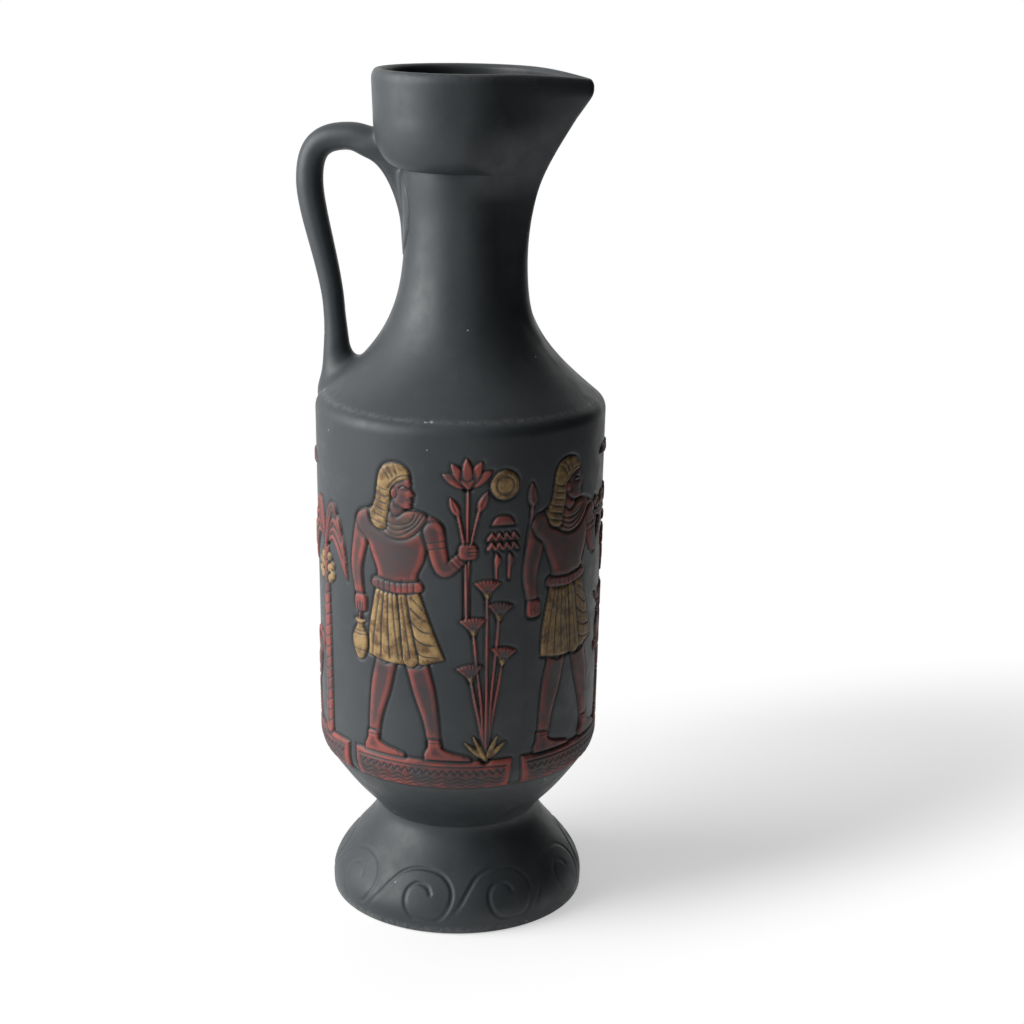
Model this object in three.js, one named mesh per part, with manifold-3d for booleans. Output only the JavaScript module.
// A tall ceramic jug: spreading foot, round-bottomed body with a straight wall, sloping shoulder,
// narrow neck, cup-shaped collar drawn out into a pouring beak, and a loop handle at the back.
// A frieze of bearers, papyrus, palm and bird stands on the wall in low relief.
// Every clay piece is shaped by itself and luted to the next with a thin bed of joint slip.
// Millimetres, +Z up. The origin is the middle of the flat underside of the foot.
// The beak points along +X and the handle stands out along -X.

import * as THREE from "three";
import { mergeVertices } from "three/addons/utils/BufferGeometryUtils.js";
import Module from "manifold-3d";

// Foot: a bell-shaped pedestal, closed underneath and hollow inside.
const FOOT_HEIGHT = 40.2;
const FOOT_RADIUS = 54.1;
const FOOT_TOE_HEIGHT = 6;
const FOOT_UNDERCUT = 0.8;
const FOOT_FLOOR = 5.5;
const FOOT_WALL = 5.5;
const WAIST_RADIUS = 34.6;

// Body: a rounded bowl that turns up into a wall leaning out by a hair.
const BOWL_HEIGHT = 35.2;
const WALL_HEIGHT = 139.6;
const WALL_TOP_RADIUS = 60.5;
const WALL_LEAN = 1.6;
const BODY_WALL = 4.8;

// Frieze: forms that stand a little proud of the sunk ground of the wall, in panels all alike
// in width. They are drawn in squares: so many to a panel's width, so many to the frieze's height.
const RELIEF_HEIGHT = 0.7;
const PANELS = 5;
const PANEL_SQUARES = 11.7;
const FRIEZE_SQUARES = 19.35;
const STANDING_LINE_RISE = 4.6;
const FRIEZE_MARGIN = 8.7;
const FIRST_PANEL_TURN = -84;

// Shoulder and neck: one piece, from the rounded ridge up to the crease under the collar.
const RIDGE_ROUND = 5.5;
const SHOULDER_SLOPE = 33.3;
const NECK_WAIST_RISE = 77;
const NECK_RISE = 96;
const NECK_RADIUS = 23.4;
const NECK_SPREAD = 0.9;
const NECK_WALL = 4.2;

// Collar: a deep cup with a rounded lip.
const COLLAR_HEIGHT = 39;
const COLLAR_TURN_HEIGHT = 21.4;
const COLLAR_RADIUS = 35.8;
const RIM_RADIUS = 36.35;
const COLLAR_WALL = 4.6;
const COLLAR_FLOOR = 2;

// Beak: the front of the collar drawn out, its keel running down the neck.
const BEAK_REACH = 53.4;
const BEAK_TIP_HEIGHT = 31;
const BEAK_TIP_ROUND = 3.4;
const BEAK_SLOPE = 58.3;
const BEAK_DIP = 2.2;
const KEEL_DROP = 45;
const KEEL_PROUD = 0.7;

// Handle: a round bar that leaves the collar level, turns down and tapers to the shoulder.
const HANDLE_THICKNESS = 11.2;
const HANDLE_THIN = 8.9;
const HANDLE_ROOT_THICKNESS = 12;
const HANDLE_REACH = 65.8;
const HANDLE_TOP_RISE = 10.8;
const HANDLE_LEVEL_RUN = 46;
const HANDLE_BEND_DROP = 18.6;
const HANDLE_ROOT_INSET = 6.1;
const HANDLE_THIN_RISE = 35;
const HANDLE_FLARE = 15;

// Fin: the tail of the handle pressed down the back of the neck.
const FIN_THICKNESS = 9;
const FIN_ROUND = 3;
const FIN_DROP = 39;
const FIN_PROUD = 0.6;

// Joint slip: the soft clay between the pieces, and the beads squeezed out round the handle's ends.
const SLIP_BED = 1;
const SLIP_BEAD = 1.7;
const RIDGE_MARGIN = 0.5;
const CUT_CLEARANCE = 0.3;

// How finely the round forms are divided.
const TURNS = 40;
const COLLAR_SIDE_COLUMNS = 25;
const BEAK_CROWDING = 1.8;
const BAR_SIDES = 14;
const BAR_RINGS = 32;

// Levels of the joints, from the flat underside upwards.
const WAIST_Z = FOOT_HEIGHT;
const WALL_Z = WAIST_Z + BOWL_HEIGHT;
const RIDGE_Z = WALL_Z + WALL_HEIGHT;
const SHOULDER_JOINT_Z = RIDGE_Z - SLIP_BED;
const NECK_WAIST_Z = RIDGE_Z + NECK_WAIST_RISE;
const COLLAR_Z = RIDGE_Z + NECK_RISE;
const RIM_Z = COLLAR_Z + COLLAR_HEIGHT;
const HALF_BED = SLIP_BED / 2;

// Radii that follow: where the bowl meets the wall, the neck's top, and where the handle lands.
const WALL_TOP_Z = SHOULDER_JOINT_Z - HALF_BED;
const STANDING_LINE_Z = WALL_Z + STANDING_LINE_RISE;
const FRIEZE_TOP_Z = WALL_TOP_Z - FRIEZE_MARGIN;
const WALL_FOOT_RADIUS = WALL_TOP_RADIUS - WALL_LEAN;
const NECK_TOP_RADIUS = NECK_RADIUS + NECK_SPREAD;
const HANDLE_LOW_RADIUS = WALL_TOP_RADIUS - HANDLE_ROOT_INSET;

const wasm = await Module();
wasm.setup();

const point = (radius, height) => new THREE.Vector2(radius, height);
const mix = THREE.MathUtils.lerp;
const clamp = THREE.MathUtils.clamp;

// A smooth outline between two points that leaves and arrives in given directions (degrees
// above the outward horizontal); pull and draw say how far each direction holds.
function bend(start, startAngle, pull, end, endAngle, draw, steps) {
  const leave = THREE.MathUtils.degToRad(startAngle);
  const arrive = THREE.MathUtils.degToRad(endAngle);
  const first = point(Math.cos(leave), Math.sin(leave)).multiplyScalar(pull).add(start);
  const last = point(-Math.cos(arrive), -Math.sin(arrive)).multiplyScalar(draw).add(end);
  return new THREE.CubicBezierCurve(start, first, last, end).getPoints(steps);
}

function arc(centre, radius, fromAngle, toAngle, steps) {
  const points = [];
  for (let i = 0; i <= steps; i += 1) {
    const angle = THREE.MathUtils.degToRad(mix(fromAngle, toAngle, i / steps));
    points.push(point(centre.x + radius * Math.cos(angle), centre.y + radius * Math.sin(angle)));
  }
  return points;
}

// The outline moved towards the axis side by a wall's thickness (or outwards, if negative).
function inset(outline, thickness) {
  return outline.map((here, i) => {
    const before = outline[Math.max(i - 1, 0)];
    const after = outline[Math.min(i + 1, outline.length - 1)];
    const along = after.clone().sub(before).normalize();
    return point(here.x - along.y * thickness, here.y + along.x * thickness);
  });
}

// Every second point of an outline, with both its ends: enough for a hidden inner side.
function coarser(outline) {
  return outline.filter((p, i) => i % 2 === 0 || i === outline.length - 1);
}

// Where an outline that only climbs has a given height, the radius it has there.
function radiusAt(outline, height) {
  for (let i = 1; i < outline.length; i += 1) {
    const low = outline[i - 1];
    const high = outline[i];
    if (height <= high.y) {
      return mix(low.x, high.x, clamp((height - low.y) / (high.y - low.y), 0, 1));
    }
  }
  return outline[outline.length - 1].x;
}

// A turned form: the outline spun about the vertical axis.
function turn(outline) {
  return new THREE.LatheGeometry(outline, TURNS).rotateX(Math.PI / 2);
}

// A closed outline between an outer and an inner line that both run upwards.
function shell(outer, inner) {
  return [...outer, ...inner.slice().reverse(), outer[0].clone()];
}

// A ring with flat faces between two levels.
function bed(innerRadius, outerRadius, middle) {
  const low = middle - HALF_BED;
  const high = middle + HALF_BED;
  return turn([
    point(innerRadius, low),
    point(outerRadius, low),
    point(outerRadius, high),
    point(innerRadius, high),
    point(innerRadius, low),
  ]);
}

// A closed skin over rows of points, each row a closed ring of the same count.
// Its two ends are closed by a fan, or the last row is joined to the first.
function skin(rows, joined = false) {
  const columns = rows[0].length;
  const positions = rows.flat().flatMap((p) => [p.x, p.y, p.z]);
  const faces = [];
  const bands = joined ? rows.length : rows.length - 1;
  for (let row = 0; row < bands; row += 1) {
    const next = (row + 1) % rows.length;
    for (let column = 0; column < columns; column += 1) {
      const beside = (column + 1) % columns;
      const a = row * columns + column;
      const b = row * columns + beside;
      const c = next * columns + beside;
      const d = next * columns + column;
      faces.push(a, b, c, a, c, d);
    }
  }
  if (!joined) {
    [rows[0], rows[rows.length - 1]].forEach((row, end) => {
      const centre = new THREE.Vector3();
      row.forEach((p) => centre.addScaledVector(p, 1 / columns));
      const hub = positions.length / 3;
      positions.push(centre.x, centre.y, centre.z);
      const base = end === 0 ? 0 : (rows.length - 1) * columns;
      for (let column = 0; column < columns; column += 1) {
        const here = base + column;
        const beside = base + ((column + 1) % columns);
        faces.push(...(end === 0 ? [hub, beside, here] : [hub, here, beside]));
      }
    });
  }
  const geometry = new THREE.BufferGeometry();
  geometry.setAttribute("position", new THREE.Float32BufferAttribute(positions, 3));
  geometry.setIndex(faces);
  return geometry;
}

// A geometry as a solid that can be joined and cut, and a solid back as a geometry.
function solid(geometry) {
  const bare = geometry.clone();
  bare.deleteAttribute("normal");
  bare.deleteAttribute("uv");
  const merged = mergeVertices(bare, 1e-4);
  const vertProperties = new Float32Array(merged.attributes.position.array);
  const triVerts = new Uint32Array(merged.index.array);
  return new wasm.Manifold(new wasm.Mesh({ numProp: 3, vertProperties, triVerts }));
}

function surface(body) {
  const mesh = body.getMesh();
  const geometry = new THREE.BufferGeometry();
  geometry.setAttribute("position", new THREE.Float32BufferAttribute(mesh.vertProperties, 3));
  geometry.setIndex(Array.from(mesh.triVerts));
  return geometry;
}

// Outer outlines of the turned pieces, each running upwards.
const TOE_PULL = 0.38;
const WAIST_DRAW = 0.295;
const footSweep = FOOT_HEIGHT - FOOT_TOE_HEIGHT;
const footOuter = bend(
  point(FOOT_RADIUS, FOOT_TOE_HEIGHT),
  90,
  TOE_PULL * footSweep,
  point(WAIST_RADIUS, WAIST_Z - HALF_BED),
  90,
  WAIST_DRAW * footSweep,
  8,
);

const BOWL_START = 65;
const BOWL_PULL = 0.19;
const BOWL_DRAW = 0.365;
const bowlOuter = bend(
  point(WAIST_RADIUS, WAIST_Z + HALF_BED),
  BOWL_START,
  BOWL_PULL * BOWL_HEIGHT,
  point(WALL_FOOT_RADIUS, WALL_Z),
  90,
  BOWL_DRAW * BOWL_HEIGHT,
  8,
);

const ridgeOuter = arc(
  point(WALL_TOP_RADIUS - RIDGE_ROUND, RIDGE_Z),
  RIDGE_ROUND,
  0,
  90 - SHOULDER_SLOPE,
  3,
);
const SHOULDER_PULL = 0.41;
const NECK_DRAW = 0.52;
const shoulderOuter = bend(
  ridgeOuter[ridgeOuter.length - 1],
  180 - SHOULDER_SLOPE,
  SHOULDER_PULL * NECK_WAIST_RISE,
  point(NECK_RADIUS, NECK_WAIST_Z),
  90,
  NECK_DRAW * NECK_WAIST_RISE,
  8,
);
const NECK_EASE = 0.35;
const neckEase = NECK_EASE * (COLLAR_Z - NECK_WAIST_Z);
const neckTopOuter = bend(
  point(NECK_RADIUS, NECK_WAIST_Z),
  90,
  neckEase,
  point(NECK_TOP_RADIUS, COLLAR_Z - HALF_BED),
  90,
  neckEase,
  2,
);
const neckOuter = [
  point(WALL_TOP_RADIUS, SHOULDER_JOINT_Z + HALF_BED),
  ...ridgeOuter,
  ...shoulderOuter.slice(1),
  ...neckTopOuter.slice(1),
];

const CUP_START = 10;
const CUP_PULL = 0.11;
const CUP_DRAW = 0.93;
const cupOuter = bend(
  point(NECK_TOP_RADIUS, COLLAR_Z + HALF_BED),
  CUP_START,
  CUP_PULL * COLLAR_TURN_HEIGHT,
  point(COLLAR_RADIUS, COLLAR_Z + COLLAR_TURN_HEIGHT),
  90,
  CUP_DRAW * COLLAR_TURN_HEIGHT,
  6,
);

// The foot: floor, bell-shaped wall and an open top that joins the hollow of the body.
function footShape() {
  const inner = coarser(inset(footOuter, FOOT_WALL)).filter((p) => p.y > FOOT_FLOOR + 1);
  inner[inner.length - 1].set(WAIST_RADIUS - FOOT_WALL, WAIST_Z - HALF_BED);
  return turn([
    point(0, 0),
    point(FOOT_RADIUS - FOOT_UNDERCUT, 0),
    point(FOOT_RADIUS - FOOT_UNDERCUT / 4, FOOT_TOE_HEIGHT / 3),
    ...footOuter,
    ...inner.slice().reverse(),
    point(inner[0].x - 1, FOOT_FLOOR),
    point(0, FOOT_FLOOR),
  ]);
}

// Outlines of the frieze's forms, in squares: x to the right and y up from the standing line.
const PLINTH = [[-5.35, -2.05], [5.35, -2.05], [5.5, 0], [-5.5, 0]];
const HEAD = [
  [-1.8, 15], [-1.3, 18.1], [-0.4, 19.05], [0.5, 18.9], [0.95, 17.8], [1.3, 17.2], [0.8, 16.2],
  [0.75, 15],
];
const TORSO = [
  [-3, 15.4], [-2.2, 15.95], [2.2, 15.95], [3, 15.4], [1.4, 12.2], [1.5, 11], [-1.5, 11], [-1.4, 12.2],
];
const KILT = [[-1.65, 11.6], [1.65, 11.6], [3.2, 6.6], [-2.15, 6.4]];
const REAR_LEG = [
  [-2.45, -0.1], [-2, 4.2], [-1.5, 6.8], [0, 6.8], [-0.6, 4], [-1.35, 1], [0.5, 0.3], [0.55, -0.1],
];
const FRONT_LEG = [
  [1.85, -0.1], [1.9, 1.6], [0.7, 6.8], [2.2, 6.8], [2.6, 4.2], [2.95, 1], [4.8, 0.3], [4.9, -0.1],
];
const REAR_ARM = [[-2.9, 15.4], [-3.6, 12.4], [-3.35, 9.2], [-2.2, 9.2], [-2.5, 12.4], [-2, 14]];
const BEARER = [HEAD, TORSO, KILT, REAR_LEG, FRONT_LEG, REAR_ARM];
const ARM_WITH_LOTUS = [
  [2, 15], [2.9, 15.3], [3.5, 13.4], [4.6, 14.3], [5.1, 13.7], [3.3, 12.2], [2.4, 12.8],
];
const ARM_WITH_TRAY = [
  [2, 15], [2.9, 15.3], [3.5, 13.6], [3.6, 14.5], [2.8, 14.95], [3.4, 15.8], [5.2, 15.8], [6, 14.95], [4.6, 14.4],
  [4.2, 13], [3.3, 12.3], [2.4, 12.8],
];
const TALL_LOTUS = [
  [4.35, 9.4], [4.35, 17.7], [3, 18.8], [4.55, 19.6], [6.1, 18.8], [4.7, 17.7], [4.65, 9.4],
];
const JAR = [[-0.3, 0], [-0.62, 1.1], [-0.35, 2.45], [0.35, 2.45], [0.62, 1.1], [0.3, 0]];
const STAND = [
  [-1.2, -0.1], [-0.45, 2.4], [-0.6, 6.2], [-1.95, 6.2], [-1.95, 6.85], [1.95, 6.85], [1.95, 6.2], [0.6, 6.2],
  [0.45, 2.4], [1.2, -0.1],
];
const CUT_LOTUS = [[-0.1, 6.8], [-1.5, 10.5], [0.05, 11.3], [1.6, 10.5], [0.2, 6.8]];
const PAPYRUS_HEADS = [[-1.45, 8], [1.5, 9.6], [0, 16.2]];
const PAPYRUS_LEAVES = [[0, -0.1], [-2, 1.9], [0, 1.2], [2, 1.9]];
const IBIS_BODY = [[1.7, 4.9], [0.9, 5.9], [-0.3, 5.9], [-3.2, 3.6], [0, 3.4], [1, 3.8]];
const IBIS_NECK = [
  [0.9, 5.3], [1.4, 6.1], [0.8, 7.7], [1.2, 8.4], [2.5, 7.9], [3.2, 6.8], [1.5, 7.6], [2.05, 6],
  [1.7, 4.9],
];
const IBIS_LEG = [[0.15, 3.9], [0.8, -0.1], [1.05, -0.1], [0.6, 3.9]];
const PALM_TRUNK = [[-0.58, -0.1], [-0.4, 13.4], [0.4, 13.4], [0.58, -0.1]];
const PALM_CROWN = [
  [0, 12.8], [-0.75, 16.2], [-1.3, 16.45], [-1.9, 15.9], [-2.5, 14], [-2.85, 11.2], [-0.97, 13.6],
];
const WINGED_DISC = [[-4.25, -0.2], [-3, 0.75], [3, 0.75], [4.25, -0.2], [1, -0.75], [-1, -0.75]];
const DISC = arc(point(0, 0), 0.92, 0, 300, 5).map((p) => [p.x, p.y]);

const moved = (outline, x, y, scale = 1) => outline.map(([a, b]) => [x + a * scale, y + b * scale]);
const mirrored = (outline) => outline.map(([a, b]) => [-a, b]).reverse();

// A clump of papyrus: its heads, each with its stem in one outline, and the leaves at the root.
function papyrus(x, scale) {
  const stems = PAPYRUS_HEADS.map(([head, top]) => [
    [-0.12, 0.5],
    [0.12, 0.5],
    [head + 0.16, top],
    [head + 1.2, top + 1.5],
    [head - 1.2, top + 1.5],
    [head - 0.16, top],
  ]);
  return [PAPYRUS_LEAVES, ...stems].map((outline) => moved(outline, x, 0, scale));
}

// Where the forms of each panel stand, and how large they are drawn.
const BEARER_X = -2.09;
const RIGHT_X = 3.72;
const THICKET_SCALE = 0.667;
const STAND_SCALE = 0.837;
const IBIS_SCALE = 0.775;
const PALM_X = 2.87;
const PALM_SCALE = 0.961;
const atBearer = (outline) => moved(outline, BEARER_X, 0);
const lotusPanel = [
  ...[...BEARER, ARM_WITH_LOTUS, TALL_LOTUS, moved(JAR, -2.85, 6, 1.05)].map(atBearer),
  ...papyrus(RIGHT_X, THICKET_SCALE),
  moved(DISC, 4.74, 17.9),
];
const trayPanel = [
  ...[...BEARER, ARM_WITH_TRAY].map(atBearer),
  ...[STAND, CUT_LOTUS, moved(JAR, -1.05, 6.8), moved(JAR, 1.1, 6.8, 0.85)].map((outline) =>
    moved(outline, RIGHT_X, 0, STAND_SCALE),
  ),
  moved(WINGED_DISC, 3.8, 18.45, 0.426),
];
const gardenPanel = [
  ...papyrus(-3.8, THICKET_SCALE),
  ...[IBIS_BODY, IBIS_NECK, IBIS_LEG, mirrored(IBIS_LEG)].map((outline) => moved(outline, -0.39, 0, IBIS_SCALE)),
  ...[PALM_TRUNK, PALM_CROWN, mirrored(PALM_CROWN)].map((outline) => moved(outline, PALM_X, 0, PALM_SCALE)),
  moved(WINGED_DISC, -2.02, 17.5, 0.667),
  moved(DISC, -0.62, 12.4),
];
const FRIEZE = [lotusPanel, trayPanel, lotusPanel, trayPanel, gardenPanel];

// One form of the frieze: its flat outline wrapped on the wall, and drawn out both ways along
// the direction in which its middle faces, from deep inside the body to well outside it.
function formOnWall(outline, panel) {
  const flat = new THREE.Shape(outline.map(([x, y]) => point(x, y)));
  const geometry = new THREE.ExtrudeGeometry(flat, { depth: 1, steps: 1, bevelEnabled: false });
  const panelTurn = THREE.MathUtils.degToRad(FIRST_PANEL_TURN) + (panel * 2 * Math.PI) / PANELS;
  const angleAt = (x) => panelTurn + (x / PANEL_SQUARES) * ((2 * Math.PI) / PANELS);
  const across = outline.map(([x]) => x);
  const facing = angleAt((Math.min(...across) + Math.max(...across)) / 2);
  const spots = geometry.attributes.position;
  for (let i = 0; i < spots.count; i += 1) {
    const angle = angleAt(spots.getX(i));
    const height = mix(STANDING_LINE_Z, FRIEZE_TOP_Z, spots.getY(i) / FRIEZE_SQUARES);
    const out = (spots.getZ(i) - 0.5) * WALL_TOP_RADIUS;
    const x = WALL_TOP_RADIUS * Math.cos(angle) + out * Math.cos(facing);
    const y = WALL_TOP_RADIUS * Math.sin(angle) + out * Math.sin(facing);
    spots.setXYZ(i, x, y, height);
  }
  return solid(geometry);
}

// The body: bowl and straight wall, open at the waist and at the shoulder. The ground is sunk
// below the outline between the bowl's turn and the top, and the frieze stands up to the outline.
const GROUND_EASE_START = 3;
const GROUND_EASE_STEPS = 3;
function bodyShape() {
  const wallTop = point(WALL_TOP_RADIUS, WALL_TOP_Z);
  const inner = coarser(inset(bowlOuter, BODY_WALL));
  inner[0].set(WAIST_RADIUS - FOOT_WALL, WAIST_Z + HALF_BED);
  inner.push(point(wallTop.x - BODY_WALL, wallTop.y));
  const full = [...bowlOuter, wallTop];
  const sunk = inset(bowlOuter, RELIEF_HEIGHT);
  const ground = bowlOuter.map((p, i) => {
    const share = clamp((i - GROUND_EASE_START) / GROUND_EASE_STEPS, 0, 1);
    return p.clone().lerp(sunk[i], share);
  });
  ground.push(point(radiusAt(full, FRIEZE_TOP_Z) - RELIEF_HEIGHT, FRIEZE_TOP_Z), wallTop);
  const bare = solid(turn(shell(ground, inner)));
  const skinOuter = full.slice(GROUND_EASE_START);
  const outerHalf = solid(turn(shell(skinOuter, inset(skinOuter, BODY_WALL / 2))));
  const forms = FRIEZE.flatMap((outlines, panel) =>
    [PLINTH, ...outlines].map((outline) => formOnWall(outline, panel)),
  );
  return surface(bare.add(wasm.Manifold.union(forms).intersect(outerHalf)));
}

// Shoulder and neck in one: the wall follows the outside all the way up.
function neckShape() {
  const inner = coarser(inset(neckOuter.slice(1), NECK_WALL));
  const first = point(WALL_TOP_RADIUS - BODY_WALL, SHOULDER_JOINT_Z + HALF_BED);
  inner[0].set(first.x, RIDGE_Z);
  inner[inner.length - 1].set(NECK_TOP_RADIUS - NECK_WALL, COLLAR_Z - HALF_BED);
  return turn(shell(neckOuter, [first, ...inner]));
}

// The keel line of the beak: how far from the axis the front edge stands at a height.
const KEEL_PULL = 0.48;
const KEEL_DRAW = 0.42;
const beakTipZ = COLLAR_Z + BEAK_TIP_HEIGHT;
const keelFootZ = COLLAR_Z - KEEL_DROP;
const keelLine = bend(
  point(radiusAt(neckOuter, keelFootZ) + KEEL_PROUD, keelFootZ),
  90,
  KEEL_PULL * (beakTipZ - keelFootZ),
  point(BEAK_REACH, beakTipZ),
  BEAK_SLOPE,
  KEEL_DRAW * (beakTipZ - keelFootZ),
  24,
);

// Directions round the collar, crowded towards the tip of the beak.
const columnAngles = [];
for (let i = -COLLAR_SIDE_COLUMNS; i < COLLAR_SIDE_COLUMNS; i += 1) {
  const share = Math.abs(i) / COLLAR_SIDE_COLUMNS;
  columnAngles.push(Math.sign(i) * Math.PI * share ** BEAK_CROWDING);
}

// The plan of the beak: a round of the given radius and a small round at its tip, wrapped by
// two straight sides. Gives the distance from the axis in a direction.
function beakPlan(radius, reach, tipRound, angle) {
  const tipCentre = reach - tipRound;
  if (reach <= radius || tipCentre <= radius - tipRound) {
    return radius;
  }
  const sideAngle = Math.acos((radius - tipRound) / tipCentre);
  const away = Math.abs(angle);
  if (away >= sideAngle) {
    return radius;
  }
  const tipX = tipCentre + tipRound * Math.cos(sideAngle);
  const tipY = tipRound * Math.sin(sideAngle);
  if (away > Math.atan2(tipY, tipX)) {
    return radius / Math.cos(away - sideAngle);
  }
  const offset = tipCentre * Math.sin(away);
  return tipCentre * Math.cos(away) + Math.sqrt(tipRound ** 2 - offset ** 2);
}

// One level of the beaked form as a ring of points; the rim side of the beak dips a little.
function beakRow(radius, height, reach, tipRound) {
  const turnZ = COLLAR_Z + COLLAR_TURN_HEIGHT;
  const dipShare = clamp((height - turnZ) / (RIM_Z - turnZ), 0, 1);
  return columnAngles.map((angle) => {
    const out = beakPlan(radius, reach, tipRound, angle);
    const towardsTip = reach > radius ? (out - radius) / (reach - radius) : 0;
    const z = height - BEAK_DIP * dipShare * towardsTip;
    return new THREE.Vector3(out * Math.cos(angle), out * Math.sin(angle), z);
  });
}

// The collar: cup, rounded lip, gutter of the beak and the keel that runs down the neck.
function collarShape() {
  const lipRound = COLLAR_WALL / 2;
  const lipZ = RIM_Z - lipRound;
  const lipCentre = RIM_RADIUS - lipRound;
  const rows = [];
  const add = (radius, height, reach, tipRound) => rows.push(beakRow(radius, height, reach, tipRound));

  cupOuter.forEach((p) => add(p.x, p.y, radiusAt(keelLine, p.y), BEAK_TIP_ROUND));
  const wallSteps = 2;
  for (let i = 1; i <= wallSteps; i += 1) {
    const height = mix(COLLAR_Z + COLLAR_TURN_HEIGHT, lipZ, i / wallSteps);
    const radius = mix(COLLAR_RADIUS, RIM_RADIUS, i / wallSteps);
    add(radius, height, radiusAt(keelLine, height), BEAK_TIP_ROUND);
  }
  arc(point(lipCentre, lipZ), lipRound, 0, 180, 4)
    .slice(1)
    .forEach((p) => {
      const drawnIn = RIM_RADIUS - p.x;
      const tipRound = Math.max(BEAK_TIP_ROUND - drawnIn, BEAK_TIP_ROUND / 3);
      add(p.x, p.y, BEAK_REACH - drawnIn, tipRound);
    });

  const boreRadius = NECK_TOP_RADIUS - NECK_WALL;
  const floorZ = COLLAR_Z + HALF_BED + COLLAR_FLOOR;
  const innerReach = BEAK_REACH - COLLAR_WALL;
  const gutterShare = (height) => clamp((height - floorZ) / (beakTipZ - floorZ), 0, 1);
  const gutter = (height) => mix(boreRadius, innerReach, gutterShare(height));
  const cupInner = bend(
    point(boreRadius, floorZ),
    CUP_START,
    CUP_PULL * COLLAR_TURN_HEIGHT,
    point(COLLAR_RADIUS - COLLAR_WALL, COLLAR_Z + COLLAR_TURN_HEIGHT),
    90,
    (CUP_DRAW - CUP_PULL) * COLLAR_TURN_HEIGHT,
    4,
  );
  const innerTip = BEAK_TIP_ROUND / 3;
  [...cupInner].reverse().forEach((p) => add(p.x, p.y, gutter(p.y), innerTip));
  add(boreRadius, COLLAR_Z + HALF_BED, 0, innerTip);
  const cup = solid(skin(rows, true));

  const keelSteps = 8;
  const keelRows = [];
  for (let i = 0; i <= keelSteps; i += 1) {
    const height = mix(keelFootZ, COLLAR_Z + HALF_BED, i / keelSteps);
    keelRows.push(beakRow(radiusAt(neckOuter, height), height, radiusAt(keelLine, height), BEAK_TIP_ROUND));
  }
  const clearOfNeck = inset(neckOuter, -CUT_CLEARANCE).filter((p) => p.y < COLLAR_Z - SLIP_BED);
  const neckRoom = turn([
    point(0, clearOfNeck[0].y),
    ...clearOfNeck,
    point(NECK_TOP_RADIUS + CUT_CLEARANCE, COLLAR_Z + HALF_BED),
    point(0, COLLAR_Z + HALF_BED),
  ]);
  const keel = solid(skin(keelRows)).subtract(solid(neckRoom));
  return surface(cup.add(keel));
}

// Everything the handle is pressed against, grown outwards: shoulder with neck, and the cup.
function handleSeat(growth) {
  const low = RIDGE_Z - RIDGE_ROUND * 2;
  const cupFoot = COLLAR_Z + HALF_BED - growth;
  const neckSide = turn([
    point(0, low),
    point(WALL_TOP_RADIUS + growth, low),
    ...inset(neckOuter, -growth),
    point(0, COLLAR_Z - HALF_BED),
  ]);
  const cupSide = turn([
    point(0, NECK_WAIST_Z),
    point(NECK_TOP_RADIUS + growth, NECK_WAIST_Z),
    point(NECK_TOP_RADIUS + growth, cupFoot),
    ...inset(cupOuter.slice(1), -growth),
    point(RIM_RADIUS + growth, RIM_Z),
    point(0, RIM_Z),
  ]);
  return solid(neckSide).add(solid(cupSide));
}

// The middle line of the handle's bar, from inside the collar round and down into the shoulder.
function handleLine() {
  const topZ = COLLAR_Z + HANDLE_TOP_RISE;
  const bendZ = topZ - HANDLE_BEND_DROP;
  const thinZ = RIDGE_Z + HANDLE_THIN_RISE;
  const at = (radius, height) => new THREE.Vector3(-radius, 0, height);
  const bendRun = HANDLE_REACH - HANDLE_LEVEL_RUN;
  const drop = bendZ - thinZ;
  const line = new THREE.CurvePath();
  line.add(new THREE.LineCurve3(at(COLLAR_RADIUS - COLLAR_WALL, topZ), at(HANDLE_LEVEL_RUN, topZ)));
  line.add(
    new THREE.CubicBezierCurve3(
      at(HANDLE_LEVEL_RUN, topZ),
      at(HANDLE_LEVEL_RUN + bendRun * 0.64, topZ),
      at(HANDLE_REACH, topZ - HANDLE_BEND_DROP * 0.28),
      at(HANDLE_REACH, bendZ),
    ),
  );
  line.add(
    new THREE.CubicBezierCurve3(
      at(HANDLE_REACH, bendZ),
      at(HANDLE_REACH, bendZ - drop * 0.24),
      at(mix(HANDLE_LOW_RADIUS, HANDLE_REACH, 0.17), thinZ + drop * 0.32),
      at(mix(HANDLE_LOW_RADIUS, HANDLE_REACH, 0.1), thinZ),
    ),
  );
  line.add(
    new THREE.QuadraticBezierCurve3(
      at(mix(HANDLE_LOW_RADIUS, HANDLE_REACH, 0.1), thinZ),
      at(HANDLE_LOW_RADIUS, mix(thinZ, RIDGE_Z, 0.3)),
      at(HANDLE_LOW_RADIUS, RIDGE_Z - SLIP_BED),
    ),
  );
  return line;
}

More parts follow.
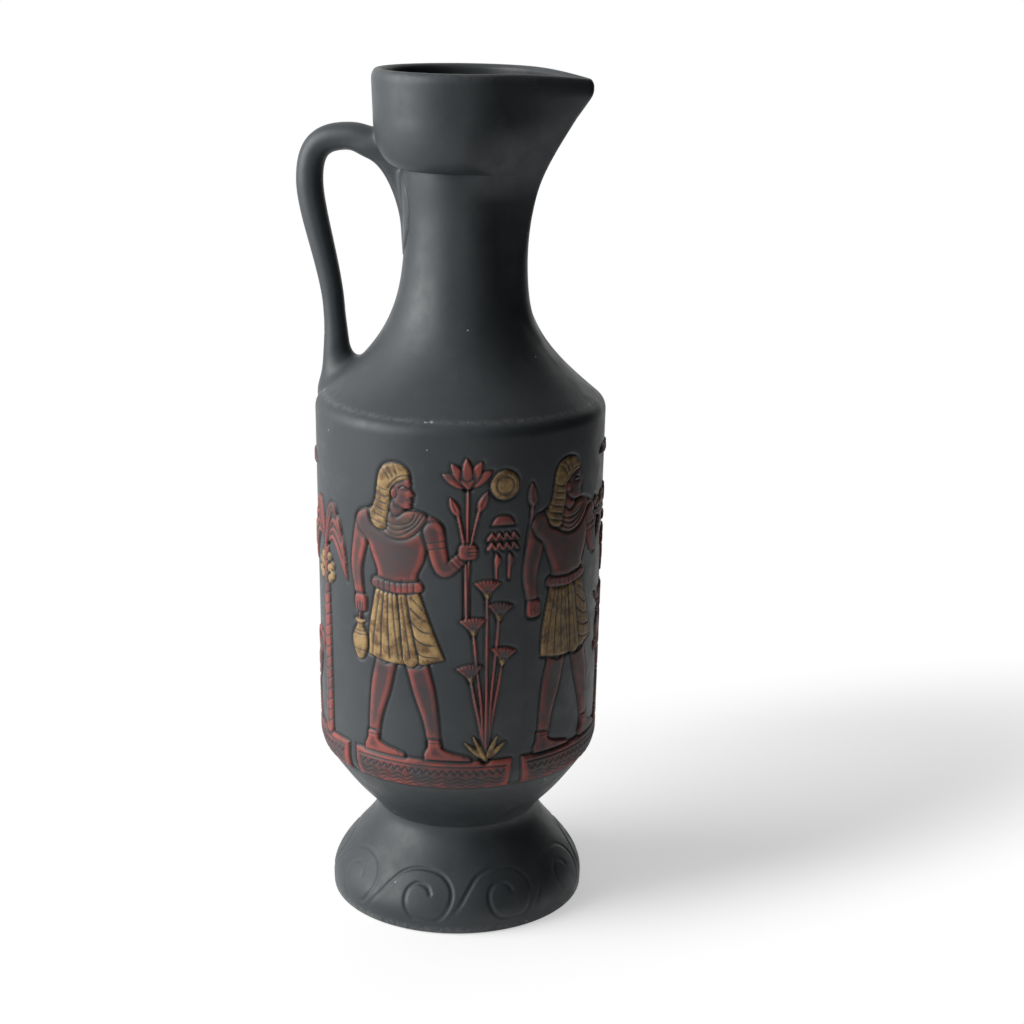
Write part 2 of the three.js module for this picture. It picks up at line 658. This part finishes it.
// The bar, a round section that thins towards the shoulder and swells again at its root.
function barSolid(extra) {
  const line = handleLine();
  const thinZ = RIDGE_Z + HANDLE_THIN_RISE;
  const bendZ = COLLAR_Z + HANDLE_TOP_RISE - HANDLE_BEND_DROP;
  const rootZ = radiusAt(
    neckOuter.map((p) => point(p.y, -p.x)),
    -HANDLE_LOW_RADIUS,
  );
  const rows = [];
  for (let i = 0; i <= BAR_RINGS; i += 1) {
    const share = i / BAR_RINGS;
    const centre = line.getPointAt(share);
    const along = line.getTangentAt(share);
    const across = new THREE.Vector3(0, 1, 0);
    const up = new THREE.Vector3().crossVectors(across, along);
    const thinning = THREE.MathUtils.smoothstep(bendZ - centre.z, 0, bendZ - thinZ);
    const swelling = 1 - THREE.MathUtils.smoothstep(centre.z, rootZ, rootZ + HANDLE_FLARE);
    const bar = mix(HANDLE_THICKNESS, HANDLE_THIN, thinning);
    const radius = mix(bar, HANDLE_ROOT_THICKNESS, swelling) / 2 + extra;
    const ring = [];
    for (let side = 0; side < BAR_SIDES; side += 1) {
      const angle = (2 * Math.PI * side) / BAR_SIDES;
      ring.push(
        centre
          .clone()
          .addScaledVector(up, radius * Math.cos(angle))
          .addScaledVector(across, radius * Math.sin(angle)),
      );
    }
    rows.push(ring);
  }
  return solid(skin(rows));
}

// The fin: a plate with rounded edges between the underside of the bar and the neck.
function finSolid(extra) {
  const topZ = COLLAR_Z + HANDLE_TOP_RISE;
  const undersideZ = topZ - HANDLE_THICKNESS / 2 - extra;
  const footZ = COLLAR_Z - FIN_DROP;
  const footRadius = radiusAt(neckOuter, footZ) + FIN_PROUD + extra;
  const rise = undersideZ - footZ;
  const run = HANDLE_LEVEL_RUN - footRadius;
  const heart = NECK_RADIUS / 2;
  const plate = new THREE.Shape();
  plate.moveTo(-heart, footZ);
  plate.lineTo(-footRadius, footZ);
  plate.bezierCurveTo(
    -footRadius,
    footZ + rise * 0.42,
    -(footRadius + run * 0.25),
    undersideZ,
    -HANDLE_LEVEL_RUN,
    undersideZ,
  );
  plate.lineTo(-HANDLE_LEVEL_RUN, topZ + FIN_ROUND / 2);
  plate.lineTo(-heart, topZ + FIN_ROUND / 2);
  const geometry = new THREE.ExtrudeGeometry(plate, {
    depth: FIN_THICKNESS - 2 * FIN_ROUND + 2 * extra,
    curveSegments: 14,
    bevelThickness: FIN_ROUND,
    bevelSize: FIN_ROUND,
    bevelOffset: -FIN_ROUND,
    bevelSegments: 3,
  });
  geometry.rotateX(Math.PI / 2).translate(0, FIN_THICKNESS / 2 - FIN_ROUND + extra, 0);
  return solid(geometry);
}

function handleSolid(extra) {
  return barSolid(extra).add(finSolid(extra));
}

// The slip squeezed out where the handle meets its seat, within a turned room.
function slipBead(room) {
  const nearSeat = handleSeat(SLIP_BEAD).intersect(solid(turn(room)));
  const bead = handleSolid(SLIP_BEAD).intersect(nearSeat);
  return surface(bead.subtract(handleSolid(CUT_CLEARANCE)).subtract(handleSeat(CUT_CLEARANCE)));
}

// The bead round the upper end also runs down both sides of the fin.
function upperBead() {
  return slipBead([
    point(0, NECK_WAIST_Z - KEEL_DROP),
    point(HANDLE_REACH, NECK_WAIST_Z - KEEL_DROP),
    point(HANDLE_REACH, RIM_Z),
    point(0, RIM_Z),
  ]);
}

// The bead round the lower end stops short of the ridge.
function lowerBead() {
  return slipBead([
    point(0, RIDGE_Z),
    point(WALL_TOP_RADIUS - RIDGE_MARGIN, RIDGE_Z),
    point(WALL_TOP_RADIUS - RIDGE_MARGIN, NECK_WAIST_Z - KEEL_DROP),
    point(0, NECK_WAIST_Z - KEEL_DROP),
  ]);
}

// Fired clay: near-black with a dull satin skin; slip a shade lighter and duller.
const clay = (color, roughness) => new THREE.MeshStandardMaterial({ color, roughness, metalness: 0 });
const CHARCOAL = 0x2c2e30;
const CHARCOAL_WARM = 0x2f2e2d;
const SLIP_GREY = 0x3a3b3c;

const jug = new THREE.Group();
jug.name = "ceramic_jug";

function piece(name, geometry, material) {
  const mesh = new THREE.Mesh(geometry, material);
  mesh.name = name;
  jug.add(mesh);
}

const waistBore = WAIST_RADIUS - FOOT_WALL;
const shoulderBore = WALL_TOP_RADIUS - BODY_WALL;
const neckBore = NECK_TOP_RADIUS - NECK_WALL;

piece("foot", footShape(), clay(CHARCOAL, 0.72));
piece("foot_joint_slip", bed(waistBore, WAIST_RADIUS, WAIST_Z), clay(SLIP_GREY, 0.85));
piece("body", bodyShape(), clay(CHARCOAL_WARM, 0.7));
piece("shoulder_joint_slip", bed(shoulderBore, WALL_TOP_RADIUS, SHOULDER_JOINT_Z), clay(SLIP_GREY, 0.85));
piece("neck", neckShape(), clay(CHARCOAL, 0.68));
piece("collar_joint_slip", bed(neckBore, NECK_TOP_RADIUS, COLLAR_Z), clay(SLIP_GREY, 0.85));
piece("collar", collarShape(), clay(CHARCOAL, 0.68));
piece("handle", surface(handleSolid(0).subtract(handleSeat(CUT_CLEARANCE))), clay(CHARCOAL, 0.68));
piece("handle_upper_joint_slip", upperBead(), clay(SLIP_GREY, 0.85));
piece("handle_lower_joint_slip", lowerBead(), clay(SLIP_GREY, 0.85));

export default jug;
